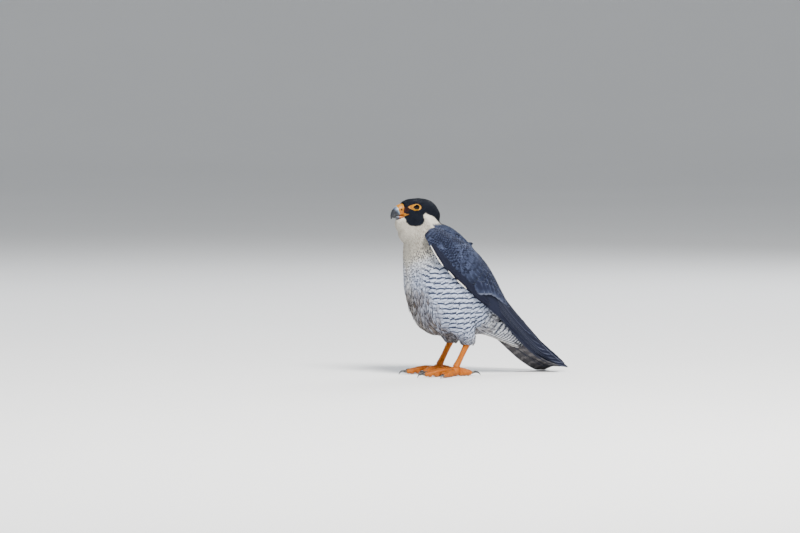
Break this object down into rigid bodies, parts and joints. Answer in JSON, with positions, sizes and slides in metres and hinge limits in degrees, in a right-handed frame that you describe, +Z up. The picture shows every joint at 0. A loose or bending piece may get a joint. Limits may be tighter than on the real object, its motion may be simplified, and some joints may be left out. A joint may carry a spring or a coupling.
{
  "type": "peregrine falcon",
  "caption": "Life-size standing falcon with folded wings, dark hood, barred breast and long tail laid back to the floor.",
  "frame": {"origin": "on the floor under the middle of the bird's box", "axes": "-Y the way the bird faces, +X its left side, +Z up"},
  "size_m": [0.1216, 0.284, 0.2526],
  "materials": {
    "hood_feathers": "near-black slate feathers with white cheeks",
    "body_feathers": "white and cream feathers with dark bars and spots",
    "wing_feathers": "slate-blue feathers with darker bars and pale fringes",
    "tail_feathers": "grey-brown barred feathers with pale tips",
    "yellow_skin": "orange-yellow scaled skin, satin",
    "bill_horn": "blue-grey horn, black at the tip, satin",
    "claw_horn": "black horn, satin",
    "eye": "dark brown, wet"
  },
  "bodies": {
    "root": {"head": "hood_feathers", "neck": "body_feathers", "trunk": "body_feathers", "thigh_left": "body_feathers", "thigh_right": "body_feathers", "wing_left": "wing_feathers", "wing_right": "wing_feathers", "tail": "tail_feathers", "cere": "yellow_skin", "shank_left": "yellow_skin", "shank_right": "yellow_skin", "foot_left": "yellow_skin", "foot_right": "yellow_skin", "beak_upper": "bill_horn", "beak_lower": "bill_horn", "eye_left": "eye", "eye_right": "eye", "claw_hallux_left": "claw_horn", "claw_inner_left": "claw_horn", "claw_middle_left": "claw_horn", "claw_outer_left": "claw_horn", "claw_hallux_right": "claw_horn", "claw_inner_right": "claw_horn", "claw_middle_right": "claw_horn", "claw_outer_right": "claw_horn"}
  },
  "joints": []
}
